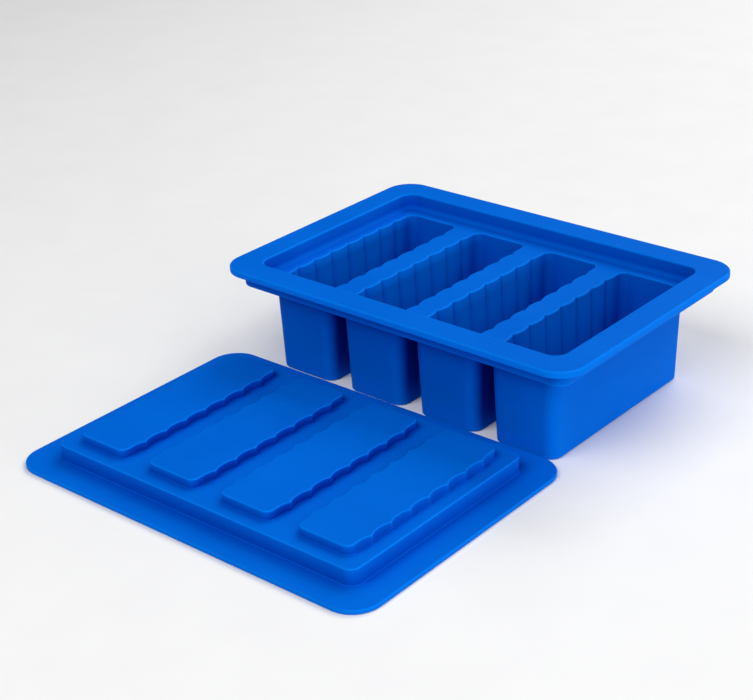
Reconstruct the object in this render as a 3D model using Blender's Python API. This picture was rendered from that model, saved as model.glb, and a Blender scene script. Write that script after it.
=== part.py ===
"""Silicone soap mould: a tray of four scalloped cavities, and its lid lying loose beside it, plug side up.

Metres, +Z up. The origin is at the middle of the pair's bounding box, on the surface they stand on.
X runs along the row of cavities, and Y along each cavity. The lid slides out from under the tray's rim and up.
"""

import math

import bmesh
import bpy

MM = 0.001

# Tray: rim flange, the recess inside it, and the shelf that the cups hang from
RIM_LENGTH = 200 * MM
RIM_WIDTH = 140 * MM
RIM_CORNER = 13.5 * MM
RIM_THICK = 3.2 * MM
TRAY_HEIGHT = 54.5 * MM
RECESS_INSET = 13.6 * MM
RECESS_DEPTH = 7.8 * MM
RECESS_CORNER = 6.5 * MM
BODY_INSET = 7.0 * MM
BODY_CORNER = 6.5 * MM
SHELF_THICK = 2.7 * MM

# Cups and their cavities, which both narrow towards the base
CAVITIES = 4
PITCH = 42.7 * MM
CUP_HALF_WIDTH = 16.8 * MM
CUP_HALF_LENGTH = 51.4 * MM
CUP_CORNER = 6.0 * MM
CUP_FOOT_ROUND = 2.0 * MM
CUP_FLARE = 1.2 * MM
CAVITY_HALF_WIDTH = 16.0 * MM
CAVITY_HALF_LENGTH = 49.2 * MM
CAVITY_CORNER = 4.0 * MM
CAVITY_NARROWING = 1.4 * MM
CAVITY_FLOOR = 2.5 * MM

# Scallops on the long walls: one for each of the eight portions, with a sharp groove between neighbours
SCALLOPS = 8
SCALLOP_PITCH = 12.1 * MM
SCALLOP_DEPTH = 1.3 * MM

# Lid, with the side that enters the tray on top
LID_PLATE = 2.0 * MM
PLUG_INSET = 14.0 * MM
PLUG_HEIGHT = 7.6 * MM
PLUG_CORNER = 5.0 * MM
PAD_HEIGHT = 4.2 * MM
PAD_HALF_WIDTH = 15.4 * MM
PAD_HALF_LENGTH = 48.6 * MM
PAD_CORNER = 3.6 * MM

# Where the lid lies, measured from the middle of the tray
LID_SHIFT_X = -9.5 * MM
LID_SHIFT_Y = -123.6 * MM
LID_TURN = math.radians(0.45)

OVERLAP = 1.0 * MM
CORNER_STEPS = 6
SCALLOP_STEPS = 4
SMOOTH_ANGLE = math.radians(35)

SILICONE_BLUE = (0.004, 0.125, 0.62, 1.0)
SILICONE_ROUGHNESS = 0.48


def start_empty():
    for obj in list(bpy.data.objects):
        bpy.data.objects.remove(obj, do_unlink=True)


def corner_arc(half_x, half_y, radius, quarter):
    """Points of one rounded corner, anticlockwise. Quarter 0 is at +X +Y."""
    turns = [(1, 1), (-1, 1), (-1, -1), (1, -1)]
    side_x, side_y = turns[quarter]
    centre = (side_x * (half_x - radius), side_y * (half_y - radius))
    points = []
    for step in range(CORNER_STEPS + 1):
        angle = math.radians(90) * (quarter + step / CORNER_STEPS)
        points.append((centre[0] + radius * math.cos(angle), centre[1] + radius * math.sin(angle)))
    return points


def rounded_rectangle(half_x, half_y, radius):
    """An outline of straight sides and round corners, anticlockwise from the +X side."""
    return [point for quarter in range(4) for point in corner_arc(half_x, half_y, radius, quarter)]


def scalloped_side(half_x):
    """The +X side of a cavity from -Y to +Y: arcs that bulge inwards and meet in cusps at half_x."""
    points = []
    for step in range(SCALLOP_STEPS // 2, SCALLOPS * SCALLOP_STEPS - SCALLOP_STEPS // 2 + 1):
        share = step / SCALLOP_STEPS % 1
        y = (step / SCALLOP_STEPS - SCALLOPS / 2) * SCALLOP_PITCH
        points.append((half_x - SCALLOP_DEPTH * 4 * share * (1 - share), y))
    return points


def scalloped_outline(half_x, half_y, radius):
    """A cavity's outline: flat ends, round corners and two scalloped long sides, anticlockwise."""
    right = scalloped_side(half_x)
    left = [(-x, -y) for x, y in right]
    corners = [corner_arc(half_x - SCALLOP_DEPTH, half_y, radius, quarter) for quarter in range(4)]
    return corners[3] + right + corners[0] + corners[1] + left + corners[2]


def loft(name, layers):
    """A closed body through outlines of equal length, listed bottom to top as (outline, z)."""
    shape = bmesh.new()
    rings = []
    for outline, z in layers:
        rings.append([shape.verts.new((x, y, z)) for x, y in outline])
    count = len(rings[0])
    for lower, upper in zip(rings, rings[1:]):
        for here in range(count):
            there = (here + 1) % count
            shape.faces.new((lower[here], lower[there], upper[there], upper[here]))
    shape.faces.new(list(reversed(rings[0])))
    shape.faces.new(rings[-1])
    mesh = bpy.data.meshes.new(name)
    shape.to_mesh(mesh)
    shape.free()
    obj = bpy.data.objects.new(name, mesh)
    bpy.context.scene.collection.objects.link(obj)
    return obj


def helper(obj, parent):
    """A shape that is only added to or cut from another one."""
    obj.hide_render = True
    obj.display_type = "WIRE"
    obj.parent = parent
    return obj


def combine(obj, other, operation):
    boolean = obj.modifiers.new(f"{operation.lower()} {other.name}", "BOOLEAN")
    boolean.operation = operation
    boolean.solver = "EXACT"
    boolean.object = other


def cavity_places():
    return [(index - (CAVITIES - 1) / 2) * PITCH for index in range(CAVITIES)]


def rim_outline(inset, radius):
    return rounded_rectangle(RIM_LENGTH / 2 - inset, RIM_WIDTH / 2 - inset, radius)


def cup_solid(index):
    """The outside of one cup, with a round foot, from the base up into the shelf."""
    top = TRAY_HEIGHT - RECESS_DEPTH - OVERLAP
    layers = []
    for step in range(4):
        angle = math.radians(30) * step
        inset = CUP_FOOT_ROUND * (1 - math.sin(angle))
        z = CUP_FOOT_ROUND * (1 - math.cos(angle))
        half_x, half_y = CUP_HALF_WIDTH - inset, CUP_HALF_LENGTH - inset
        layers.append((rounded_rectangle(half_x, half_y, CUP_CORNER - inset), z))
    flared = (CUP_HALF_WIDTH + CUP_FLARE, CUP_HALF_LENGTH + CUP_FLARE, CUP_CORNER)
    layers.append((rounded_rectangle(*flared), top))
    return loft(f"cup_{index}", layers)


def cavity_cutter(index):
    """The inside of one cavity, from its floor up into the recess."""
    low = CAVITY_NARROWING
    floor = scalloped_outline(CAVITY_HALF_WIDTH - low, CAVITY_HALF_LENGTH - low, CAVITY_CORNER)
    mouth = scalloped_outline(CAVITY_HALF_WIDTH, CAVITY_HALF_LENGTH, CAVITY_CORNER)
    shelf_z = TRAY_HEIGHT - RECESS_DEPTH
    return loft(f"cavity_{index}", [(floor, CAVITY_FLOOR), (mouth, shelf_z), (mouth, shelf_z + OVERLAP)])


def make_tray():
    under_rim = TRAY_HEIGHT - RIM_THICK
    rim = rim_outline(0, RIM_CORNER)
    tray = loft("tray", [(rim, under_rim), (rim, TRAY_HEIGHT)])
    body = rim_outline(BODY_INSET, BODY_CORNER)
    body_z = TRAY_HEIGHT - RECESS_DEPTH - SHELF_THICK
    combine(tray, helper(loft("recess_wall", [(body, body_z), (body, under_rim + OVERLAP)]), tray), "UNION")
    places = cavity_places()
    for index, x in enumerate(places):
        cup = helper(cup_solid(index), tray)
        cup.location.x = x
        combine(tray, cup, "UNION")
    recess = rim_outline(RECESS_INSET, RECESS_CORNER)
    recess_z = TRAY_HEIGHT - RECESS_DEPTH
    cutter = loft("recess", [(recess, recess_z), (recess, TRAY_HEIGHT + OVERLAP)])
    combine(tray, helper(cutter, tray), "DIFFERENCE")
    for index, x in enumerate(places):
        cavity = helper(cavity_cutter(index), tray)
        cavity.location.x = x
        combine(tray, cavity, "DIFFERENCE")
    return tray


def make_lid():
    plate = rim_outline(0, RIM_CORNER)
    lid = loft("lid", [(plate, 0), (plate, LID_PLATE)])
    plug = rim_outline(PLUG_INSET, PLUG_CORNER)
    plug_top = LID_PLATE + PLUG_HEIGHT
    combine(lid, helper(loft("plug", [(plug, LID_PLATE - OVERLAP), (plug, plug_top)]), lid), "UNION")
    for index, x in enumerate(cavity_places()):
        outline = scalloped_outline(PAD_HALF_WIDTH, PAD_HALF_LENGTH, PAD_CORNER)
        layers = [(outline, plug_top - OVERLAP), (outline, plug_top + PAD_HEIGHT)]
        pad = helper(loft(f"pad_{index}", layers), lid)
        pad.location.x = x
        combine(lid, pad, "UNION")
    return lid


def turned_half_size(angle):
    """Half the bounding box of the rim's outline turned by this angle, along X and Y."""
    straight_x = RIM_LENGTH / 2 - RIM_CORNER
    straight_y = RIM_WIDTH / 2 - RIM_CORNER
    across = straight_x * math.cos(angle) + straight_y * math.sin(angle) + RIM_CORNER
    along = straight_x * math.sin(angle) + straight_y * math.cos(angle) + RIM_CORNER
    return across, along


def middle_of_pair():
    """The middle of the box round the tray and the lid, measured from the middle of the tray."""
    across, along = turned_half_size(LID_TURN)
    right = max(RIM_LENGTH / 2, LID_SHIFT_X + across)
    left = min(-RIM_LENGTH / 2, LID_SHIFT_X - across)
    back = RIM_WIDTH / 2
    front = LID_SHIFT_Y - along
    return (left + right) / 2, (front + back) / 2


def silicone(name):
    material = bpy.data.materials.new(name)
    material.use_nodes = True
    shader = material.node_tree.nodes["Principled BSDF"]
    shader.inputs["Base Color"].default_value = SILICONE_BLUE
    shader.inputs["Roughness"].default_value = SILICONE_ROUGHNESS
    shader.inputs["Metallic"].default_value = 0.0
    return material


def finish(obj, material_name):
    obj.data.materials.append(silicone(material_name))
    obj.data.shade_smooth()
    obj.data.set_sharp_from_angle(angle=SMOOTH_ANGLE)


def build():
    start_empty()
    middle_x, middle_y = middle_of_pair()
    tray = make_tray()
    tray.location = (-middle_x, -middle_y, 0)
    finish(tray, "tray_silicone")
    lid = make_lid()
    lid.location = (LID_SHIFT_X - middle_x, LID_SHIFT_Y - middle_y, 0)
    lid.rotation_euler.z = LID_TURN
    finish(lid, "lid_silicone")


build()
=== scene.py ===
"""Looks of the silicone soap mould: the tray and its lid, finely rounded, in satin blue silicone."""

import math

import bmesh
import bpy
from mathutils import Matrix, Vector


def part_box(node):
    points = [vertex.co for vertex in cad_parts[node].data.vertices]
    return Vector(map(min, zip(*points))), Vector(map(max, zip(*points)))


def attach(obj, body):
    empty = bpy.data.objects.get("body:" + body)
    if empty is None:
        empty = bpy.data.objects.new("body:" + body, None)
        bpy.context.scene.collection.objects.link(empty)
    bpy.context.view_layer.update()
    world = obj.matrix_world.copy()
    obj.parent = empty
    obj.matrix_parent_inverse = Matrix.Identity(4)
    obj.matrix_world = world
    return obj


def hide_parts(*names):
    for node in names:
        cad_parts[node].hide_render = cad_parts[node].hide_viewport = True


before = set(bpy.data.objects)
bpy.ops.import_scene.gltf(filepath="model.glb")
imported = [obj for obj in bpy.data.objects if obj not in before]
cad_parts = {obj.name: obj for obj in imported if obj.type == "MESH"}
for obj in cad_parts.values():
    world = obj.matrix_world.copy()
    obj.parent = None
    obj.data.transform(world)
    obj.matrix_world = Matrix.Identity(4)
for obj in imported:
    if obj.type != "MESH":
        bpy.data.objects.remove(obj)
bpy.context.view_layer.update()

MM = 0.001

# Sizes, in millimetres, the same as in the CAD model except where a comment says so
RIM_LENGTH, RIM_WIDTH, RIM_CORNER, RIM_THICK = 200.0, 140.0, 13.5, 3.2
TRAY_HEIGHT = 54.5
RECESS_INSET, RECESS_DEPTH, RECESS_CORNER = 13.6, 7.8, 6.5
BODY_INSET, BODY_CORNER = 7.0, 6.5
SHELF_THICK = 2.7
CAVITIES, PITCH = 4, 42.7
CUP_HALF_WIDTH, CUP_HALF_LENGTH, CUP_CORNER = 16.8, 51.4, 6.0
CUP_FOOT_ROUND, CUP_FLARE = 0.9, 1.2  # the CAD foot is 2.0, which shows a strip of floor
CUP_FLARE_TOP_DROP = 1.0  # the flare is full this far below the shelf
CAVITY_HALF_WIDTH, CAVITY_HALF_LENGTH, CAVITY_CORNER = 15.9, 48.9, 4.0  # 16.0 and 49.2 in the CAD
CAVITY_NARROWING, CAVITY_FLOOR = 1.4, 2.5
SCALLOPS, SCALLOP_PITCH = 8, 12.1
CAVITY_SCALLOP_DEPTH, PAD_SCALLOP_DEPTH = 1.3, 1.5  # both 1.3 in the CAD
SCALLOP_FULLNESS = 2.3  # 2, as in the CAD, is an arc; more is flatter, with a sharper groove beside it
LID_PLATE = 2.0
PLUG_INSET, PLUG_HEIGHT, PLUG_CORNER = 14.0, 7.6, 5.0
PAD_HEIGHT, PAD_HALF_WIDTH, PAD_HALF_LENGTH, PAD_CORNER = 4.2, 15.4, 48.6, 3.6
LID_TURN = math.radians(0.45)

# Radii of the soft edges, in millimetres
RIM_EDGE, RIM_LOWER_EDGE = 0.8, 0.5
RECESS_LIP, RECESS_FOOT = 0.9, 2.4
BODY_ROOT, BODY_EDGE = 1.0, 0.9
CUP_ROOT = 1.5
CAVITY_LIP, CAVITY_FLOOR_ROUND = 0.8, 2.5
PLATE_EDGE, PLATE_LOWER_EDGE = 0.4, 0.4
PLUG_FOOT, PLUG_EDGE = 0.5, 0.6
PAD_FOOT, PAD_EDGE = 0.3, 0.6

EDGE_STEPS = 6  # rings across a soft edge
CORNER_STEPS = 14  # points round a corner
FLAT_MARGIN = 0.35  # a narrow flat ring beside each soft edge keeps its shading off the flats
SCALLOP_SHARES = (0.0, 0.012, 0.035, 0.08, 0.15, 0.24, 0.34, 0.44, 0.56, 0.66, 0.76, 0.85, 0.92, 0.965, 0.988)


# --- Outlines, in millimetres, anticlockwise ---


def corner_arc(half_x, half_y, radius, quarter):
    """Points of one rounded corner. Quarter 0 is at +X +Y."""
    side_x, side_y = ((1, 1), (-1, 1), (-1, -1), (1, -1))[quarter]
    centre_x, centre_y = side_x * (half_x - radius), side_y * (half_y - radius)
    points = []
    for step in range(CORNER_STEPS + 1):
        angle = math.radians(90) * (quarter + step / CORNER_STEPS)
        points.append((centre_x + radius * math.cos(angle), centre_y + radius * math.sin(angle)))
    return points


def rounded_rectangle(half_x, half_y, radius):
    return [point for quarter in range(4) for point in corner_arc(half_x, half_y, radius, quarter)]


def scalloped_side(half_x, depth):
    """The +X side of a cavity from -Y to +Y: arcs that bulge inwards and meet in cusps at half_x."""
    points = []
    for scallop in range(SCALLOPS):
        for share in SCALLOP_SHARES:
            first_half_of_first = scallop == 0 and share < 0.5
            last_half_of_last = scallop == SCALLOPS - 1 and share > 0.5
            if not (first_half_of_first or last_half_of_last):
                y = (scallop + share - SCALLOPS / 2) * SCALLOP_PITCH
                bulge = 1 - abs(2 * share - 1) ** SCALLOP_FULLNESS
                points.append((half_x - depth * bulge, y))
    return points


def scalloped_outline(half_x, half_y, radius, depth):
    """A cavity's outline: flat ends, round corners and two scalloped long sides."""
    right = scalloped_side(half_x, depth)
    left = [(-x, -y) for x, y in right]
    corners = [corner_arc(half_x - depth, half_y, radius, quarter) for quarter in range(4)]
    return corners[3] + right + corners[0] + corners[1] + left + corners[2]


# --- Surfaces ---


def quarter_round(start, end, leaves_flat):
    """Points (offset, z) of a quarter round from start to end. It leaves start along the flat, or along Z."""
    points = []
    for step in range(EDGE_STEPS + 1):
        angle = math.radians(90) * step / EDGE_STEPS
        slow, fast = 1 - math.cos(angle), math.sin(angle)
        across, along = (fast, slow) if leaves_flat else (slow, fast)
        points.append((start[0] + (end[0] - start[0]) * across, start[1] + (end[1] - start[1]) * along))
    return points


def add_ring(shape, outline, z, shift=(0.0, 0.0)):
    return [shape.verts.new(((x + shift[0]) * MM, (y + shift[1]) * MM, z * MM)) for x, y in outline]


def join_rings(shape, rings):
    for first, second in zip(rings, rings[1:]):
        count = len(first)
        for here in range(count):
            there = (here + 1) % count
            shape.faces.new((first[here], first[there], second[there], second[here]))


def fill_between(shape, outer, holes):
    """Flat faces between an outer ring and the rings of the holes in it."""
    edges = []
    for ring in [outer, *holes]:
        edges += [shape.edges.get((ring[i - 1], ring[i])) for i in range(len(ring))]
    bmesh.ops.triangle_fill(shape, use_beauty=True, use_dissolve=False, edges=edges)


def rim_rings(shape, base, profile):
    """Rings parallel to the rim's outline, from (inset, z).

    Base is the inset and the corner radius that they go by.
    """
    base_inset, base_corner = base
    rings = []
    for inset, z in profile:
        half_x, half_y = RIM_LENGTH / 2 - inset, RIM_WIDTH / 2 - inset
        rings.append(add_ring(shape, rounded_rectangle(half_x, half_y, base_corner + base_inset - inset), z))
    return rings


def hollow_or_pad_rings(shape, outline_of, profile, shift_x):
    """Rings of a cup, a cavity or a pad, from (growth, z). outline_of gives its outline for them."""
    return [add_ring(shape, outline_of(growth, z), z, (shift_x, 0.0)) for growth, z in profile]


def cavity_places():
    return [(index - (CAVITIES - 1) / 2) * PITCH for index in range(CAVITIES)]


def cup_outline(growth, z):
    """A cup's outside at a height, which widens towards the shelf."""
    top = TRAY_HEIGHT - RECESS_DEPTH - CUP_FLARE_TOP_DROP
    flare = CUP_FLARE * max(z - CUP_FOOT_ROUND, 0) / (top - CUP_FOOT_ROUND)
    out = flare + growth
    return rounded_rectangle(CUP_HALF_WIDTH + out, CUP_HALF_LENGTH + out, CUP_CORNER + growth)


def cavity_outline(growth, z):
    """A cavity's wall at a height, which narrows towards the floor."""
    shelf_z = TRAY_HEIGHT - RECESS_DEPTH
    out = growth - CAVITY_NARROWING * (shelf_z - z) / (shelf_z - CAVITY_FLOOR)
    half_x, half_y = CAVITY_HALF_WIDTH + out, CAVITY_HALF_LENGTH + out
    return scalloped_outline(half_x, half_y, CAVITY_CORNER + growth, CAVITY_SCALLOP_DEPTH)


def pad_outline(growth, z):
    half_x, half_y = PAD_HALF_WIDTH + growth, PAD_HALF_LENGTH + growth
    return scalloped_outline(half_x, half_y, PAD_CORNER + growth, PAD_SCALLOP_DEPTH)


def closed_stack(shape, outline_of, profile):
    """One stack of rings over each cavity's place, closed at its last ring. Gives the first rings."""
    first_rings = []
    for x in cavity_places():
        rings = hollow_or_pad_rings(shape, outline_of, profile, x)
        join_rings(shape, rings)
        shape.faces.new(rings[-1])
        first_rings.append(rings[0])
    return first_rings


def new_piece(name, shape, place, turn, material):
    """The finished mesh as an object, with its place in its vertices."""
    bmesh.ops.recalc_face_normals(shape, faces=shape.faces)
    shape.transform(Matrix.Translation(place) @ Matrix.Rotation(turn, 4, "Z"))
    mesh = bpy.data.meshes.new(name)
    shape.to_mesh(mesh)
    shape.free()
    mesh.shade_smooth()
    mesh.materials.append(material)
    obj = bpy.data.objects.new(name, mesh)
    bpy.context.scene.collection.objects.link(obj)
    return obj


def foot_middle(node):
    """The middle of a CAD node's box, on the ground."""
    low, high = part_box(node)
    return Vector(((low.x + high.x) / 2, (low.y + high.y) / 2, 0.0))


def tray_mesh():
    shape = bmesh.new()
    shelf_z = TRAY_HEIGHT - RECESS_DEPTH
    base_z = shelf_z - SHELF_THICK
    under_z = TRAY_HEIGHT - RIM_THICK

    foot = RECESS_INSET + RECESS_FOOT
    lip = RECESS_INSET - RECESS_LIP
    recess = [(foot + FLAT_MARGIN, shelf_z)]
    recess += quarter_round((foot, shelf_z), (RECESS_INSET, shelf_z + RECESS_FOOT), True)
    recess += quarter_round((RECESS_INSET, TRAY_HEIGHT - RECESS_LIP), (lip, TRAY_HEIGHT), False)
    recess += [(lip - FLAT_MARGIN, TRAY_HEIGHT)]

    flange = [(RIM_EDGE + FLAT_MARGIN, TRAY_HEIGHT)]
    flange += quarter_round((RIM_EDGE, TRAY_HEIGHT), (0, TRAY_HEIGHT - RIM_EDGE), True)
    flange += quarter_round((0, under_z + RIM_LOWER_EDGE), (RIM_LOWER_EDGE, under_z), False)
    flange += [(RIM_LOWER_EDGE + FLAT_MARGIN, under_z)]

    root = BODY_INSET - BODY_ROOT
    body = [(root - FLAT_MARGIN, under_z)]
    body += quarter_round((root, under_z), (BODY_INSET, under_z - BODY_ROOT), True)
    body += quarter_round((BODY_INSET, base_z + BODY_EDGE), (BODY_INSET + BODY_EDGE, base_z), False)
    body += [(BODY_INSET + BODY_EDGE + FLAT_MARGIN, base_z)]

    rings = rim_rings(shape, (RECESS_INSET, RECESS_CORNER), recess)
    rings += rim_rings(shape, (0, RIM_CORNER), flange)
    rings += rim_rings(shape, (BODY_INSET, BODY_CORNER), body)
    join_rings(shape, rings)

    cup = [(CUP_ROOT + FLAT_MARGIN, base_z)]
    cup += quarter_round((CUP_ROOT, base_z), (0, base_z - CUP_ROOT), True)
    cup += quarter_round((0, CUP_FOOT_ROUND), (-CUP_FOOT_ROUND, 0), False)
    cup += [(-CUP_FOOT_ROUND - FLAT_MARGIN, 0)]
    fill_between(shape, rings[-1], closed_stack(shape, cup_outline, cup))

    cavity = [(CAVITY_LIP + FLAT_MARGIN, shelf_z)]
    cavity += quarter_round((CAVITY_LIP, shelf_z), (0, shelf_z - CAVITY_LIP), True)
    floor_top = CAVITY_FLOOR + CAVITY_FLOOR_ROUND
    cavity += quarter_round((0, floor_top), (-CAVITY_FLOOR_ROUND, CAVITY_FLOOR), False)
    cavity += [(-CAVITY_FLOOR_ROUND - FLAT_MARGIN, CAVITY_FLOOR)]
    fill_between(shape, rings[0], closed_stack(shape, cavity_outline, cavity))
    return shape


def lid_mesh():
    shape = bmesh.new()
    plug_z = LID_PLATE + PLUG_HEIGHT
    pad_z = plug_z + PAD_HEIGHT

    plate = [(PLATE_LOWER_EDGE + FLAT_MARGIN, 0)]
    plate += quarter_round((PLATE_LOWER_EDGE, 0), (0, PLATE_LOWER_EDGE), True)
    plate += quarter_round((0, LID_PLATE - PLATE_EDGE), (PLATE_EDGE, LID_PLATE), False)
    plate += [(PLATE_EDGE + FLAT_MARGIN, LID_PLATE)]

    foot = PLUG_INSET - PLUG_FOOT
    plug = [(foot - FLAT_MARGIN, LID_PLATE)]
    plug += quarter_round((foot, LID_PLATE), (PLUG_INSET, LID_PLATE + PLUG_FOOT), True)
    plug += quarter_round((PLUG_INSET, plug_z - PLUG_EDGE), (PLUG_INSET + PLUG_EDGE, plug_z), False)
    plug += [(PLUG_INSET + PLUG_EDGE + FLAT_MARGIN, plug_z)]

    rings = rim_rings(shape, (0, RIM_CORNER), plate)
    rings += rim_rings(shape, (PLUG_INSET, PLUG_CORNER), plug)
    join_rings(shape, rings)
    shape.faces.new(rings[0])

    pad = [(PAD_FOOT + FLAT_MARGIN, plug_z)]
    pad += quarter_round((PAD_FOOT, plug_z), (0, plug_z + PAD_FOOT), True)
    pad += quarter_round((0, pad_z - PAD_EDGE), (-PAD_EDGE, pad_z), False)
    pad += [(-PAD_EDGE - FLAT_MARGIN, pad_z)]
    fill_between(shape, rings[-1], closed_stack(shape, pad_outline, pad))
    return shape


# --- Materials ---


class Nodes:
    """Short calls for building one material's nodes."""

    def __init__(self, name):
        self.material = bpy.data.materials.new(name)
        self.material.use_nodes = True
        self.tree = self.material.node_tree
        self.shader = self.tree.nodes["Principled BSDF"]
        self.place = self.tree.nodes.new("ShaderNodeTexCoord").outputs["Object"]

    def add(self, kind, values=(), links=(), **settings):
        node = self.tree.nodes.new(kind)
        for name, value in settings.items():
            setattr(node, name, value)
        for name, value in dict(values).items():
            node.inputs[name].default_value = value
        for name, source in dict(links).items():
            self.tree.links.new(source, node.inputs[name])
        return node

    def noise(self, scale, detail=3.0, roughness=0.5, distortion=0.0):
        values = {"Scale": scale, "Detail": detail, "Roughness": roughness, "Distortion": distortion}
        return self.add("ShaderNodeTexNoise", values, {"Vector": self.place}).outputs["Fac"]

    def remap(self, value, low, high, new_low, new_high):
        values = {"From Min": low, "From Max": high, "To Min": new_low, "To Max": new_high}
        return self.add("ShaderNodeMapRange", values, {"Value": value}).outputs["Result"]

    def mix(self, share, first, second):
        """A colour between two, each a colour value or another node's output."""
        node = self.add("ShaderNodeMix", data_type="RGBA")
        self.tree.links.new(share, node.inputs[0])
        for socket, colour in ((node.inputs[6], first), (node.inputs[7], second)):
            if isinstance(colour, tuple):
                socket.default_value = colour
            else:
                self.tree.links.new(colour, socket)
        return node.outputs[2]

    def bump(self, height, strength, distance, normal=None):
        links = {"Height": height} if normal is None else {"Height": height, "Normal": normal}
        values = {"Strength": strength, "Distance": distance}
        return self.add("ShaderNodeBump", values, links).outputs["Normal"]


SILICONE = (0.0002, 0.124, 0.640, 1.0)
SILICONE_LIGHT = (0.0003, 0.134, 0.668, 1.0)
SILICONE_DEEP = (0.0001, 0.115, 0.606, 1.0)
DUST = (0.004, 0.190, 0.720, 1.0)
# dark blue painted into hollows as shade
SILICONE_PAINTED_SHADE = (0.0001, 0.034, 0.440, 1.0)
# lighter blue painted on convex edges as a highlight
SILICONE_EDGE_HIGHLIGHT = (0.0008, 0.200, 0.860, 1.0)
SPECULAR_TINT = (0.02, 0.40, 1.0, 1.0)
PAPER = (0.86, 0.86, 0.865, 1.0)
PAPER_LIGHT = (0.88, 0.88, 0.88, 1.0)

# Noise scales, per metre
CLOUD_SCALE, PATCH_SCALE, WAVE_SCALE = 22.0, 60.0, 16.0
GRAIN_SCALE, SPECK_SCALE, SKIN_SCALE = 1400.0, 950.0, 2600.0
FIBRE_SCALE = 30.0

SHADE_REACH = 0.03  # how far the part's other walls count for the painted shade in a hollow, in metres
SHUT, OPEN = 0.30, 0.92  # a surface this shut in gets the full painted shade colour, and one this open gets none of it
EDGE_HIGHLIGHT_STARTS, EDGE_HIGHLIGHT_FULL = 0.503, 0.530  # pointiness where the painted edge highlight starts and where it is full; pointiness is 0.5 on a flat
ROUGH_LOW, ROUGH_HIGH = 0.44, 0.56


def silicone(name):
    """Satin moulded silicone: blue, faintly clouded, with a fine skin and specks of dust, a painted highlight on convex
    edges and painted shade in hollows.
    """
    n = Nodes(name)
    clouds = n.remap(n.noise(CLOUD_SCALE, 4.0), 0.32, 0.68, 0.0, 1.0)
    colour = n.mix(clouds, SILICONE_DEEP, SILICONE_LIGHT)
    grain = n.remap(n.noise(GRAIN_SCALE, 2.0), 0.35, 0.65, 0.0, 0.35)
    colour = n.mix(grain, colour, SILICONE)
    specks = n.remap(n.noise(SPECK_SCALE, 1.0, 0.4), 0.745, 0.80, 0.0, 0.30)
    colour = n.mix(specks, colour, DUST)
    # painted highlight: convex edges, found by pointiness, get a lighter blue
    convexity = n.add("ShaderNodeNewGeometry").outputs["Pointiness"]
    colour = n.mix(n.remap(convexity, EDGE_HIGHLIGHT_STARTS, EDGE_HIGHLIGHT_FULL, 0.0, 0.8), colour, SILICONE_EDGE_HIGHLIGHT)
    # painted shade: surfaces shut in by the part's own walls are mixed towards dark blue
    shade_occlusion = n.add("ShaderNodeAmbientOcclusion", {"Distance": SHADE_REACH}, only_local=True)
    openness = shade_occlusion.outputs["AO"]
    colour = n.mix(n.remap(openness, SHUT, OPEN, 1.0, 0.0), colour, SILICONE_PAINTED_SHADE)
    n.tree.links.new(colour, n.shader.inputs["Base Color"])
    roughness = n.remap(n.noise(PATCH_SCALE, 5.0, 0.6), 0.3, 0.7, ROUGH_LOW, ROUGH_HIGH)
    n.tree.links.new(roughness, n.shader.inputs["Roughness"])
    n.shader.inputs["Metallic"].default_value = 0.0
    n.shader.inputs["IOR"].default_value = 1.41
    n.shader.inputs["Specular IOR Level"].default_value = 0.015
    n.shader.inputs["Specular Tint"].default_value = SPECULAR_TINT
    wave = n.bump(n.noise(WAVE_SCALE, 2.0), 0.35, 0.002)
    skin = n.bump(n.noise(SKIN_SCALE, 2.0, 0.5), 0.12, 0.0002, wave)
    n.tree.links.new(skin, n.shader.inputs["Normal"])
    return n.material


def paper(name):
    """Plain pale studio paper."""
    n = Nodes(name)
    fibre = n.remap(n.noise(FIBRE_SCALE, 6.0), 0.3, 0.7, 0.0, 1.0)
    colour = n.mix(fibre, PAPER, PAPER_LIGHT)
    n.tree.links.new(colour, n.shader.inputs["Base Color"])
    n.shader.inputs["Roughness"].default_value = 0.75
    n.shader.inputs["Specular IOR Level"].default_value = 0.2
    return n.material


# --- Studio ---

FLOOR_HALF = 4.0
FLOOR_DROP = 0.0002  # keeps the floor from being level with the feet
LIGHT_TARGET = Vector((0.0, 0.03, 0.02))
WORLD_STRENGTH = 0.03
CAMERA_PLACE = Vector((0.4536, -0.5187, 0.3706))
CAMERA_YAW = math.radians(41.423)  # to the left of +Y
CAMERA_DOWN = math.radians(26.023)
CAMERA_ROLL = math.radians(-2.476)
CAMERA_LENS = 81.64
CAMERA_SENSOR = 36.0


def studio_floor():
    shape = bmesh.new()
    corners = ((-1, -1), (1, -1), (1, 1), (-1, 1))
    shape.faces.new([shape.verts.new((x * FLOOR_HALF, y * FLOOR_HALF, 0)) for x, y in corners])
    floor = new_piece("studio_floor", shape, Vector((0, 0, -FLOOR_DROP)), 0, paper("studio_paper"))


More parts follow.
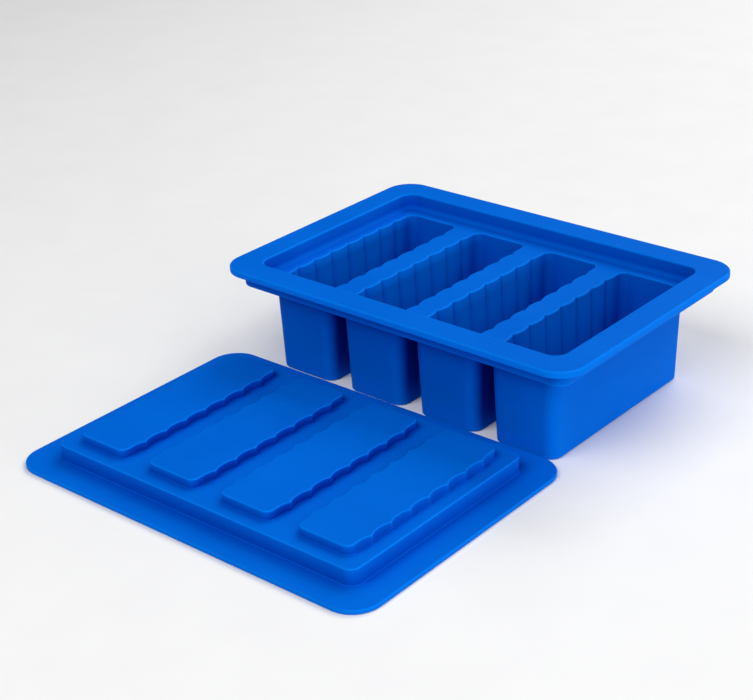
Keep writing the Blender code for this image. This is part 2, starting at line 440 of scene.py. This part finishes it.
def soft_light(name, place, width, height, power):
    """A softbox aimed at the mould. The size is in metres and the power in watts."""
    data = bpy.data.lights.new(name, "AREA")
    data.shape = "RECTANGLE"
    data.size, data.size_y = width, height
    data.energy = power
    light = bpy.data.objects.new(name, data)
    light.location = place
    light.rotation_euler = (LIGHT_TARGET - Vector(place)).to_track_quat("-Z", "Y").to_euler()
    bpy.context.scene.collection.objects.link(light)


def studio_lights():
    soft_light("front_top_softbox", (0.0, -1.1, 1.3), 1.6, 1.0, 19.8)
    soft_light("back_top_softbox", (0.0, 1.2, 1.3), 1.6, 1.0, 18.5)
    soft_light("right_top_softbox", (1.2, 0.05, 1.3), 1.0, 1.6, 8.4)
    soft_light("right_low_softbox", (2.2, 0.0, 0.25), 2.0, 0.4, 18.5)
    soft_light("back_softbox", (0.0, 1.9, 0.5), 1.4, 0.8, 4.0)
    world = bpy.data.worlds.new("studio_air")
    world.use_nodes = True
    world.node_tree.nodes["Background"].inputs["Color"].default_value = (1.0, 1.0, 1.0, 1.0)
    world.node_tree.nodes["Background"].inputs["Strength"].default_value = WORLD_STRENGTH
    bpy.context.scene.world = world


def camera():
    data = bpy.data.cameras.new("camera")
    data.lens, data.sensor_width, data.sensor_fit = CAMERA_LENS, CAMERA_SENSOR, "HORIZONTAL"
    data.clip_start, data.clip_end = 0.02, 50.0
    obj = bpy.data.objects.new("camera", data)
    level = Matrix.Rotation(CAMERA_YAW, 4, "Z") @ Matrix.Rotation(math.radians(90) - CAMERA_DOWN, 4, "X")
    obj.matrix_world = Matrix.Translation(CAMERA_PLACE) @ level @ Matrix.Rotation(CAMERA_ROLL, 4, "Z")
    bpy.context.scene.collection.objects.link(obj)
    bpy.context.scene.camera = obj


# --- The object ---

tray = new_piece("tray_moulding", tray_mesh(), foot_middle("tray"), 0.0, silicone("tray_silicone_look"))
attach(tray, "tray")
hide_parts("tray")

lid = new_piece("lid_moulding", lid_mesh(), foot_middle("lid"), LID_TURN, silicone("lid_silicone_look"))
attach(lid, "lid")
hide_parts("lid")

studio_floor()
studio_lights()
camera()
bpy.context.scene.view_settings.view_transform = "Standard"

bpy.context.view_layer.update()
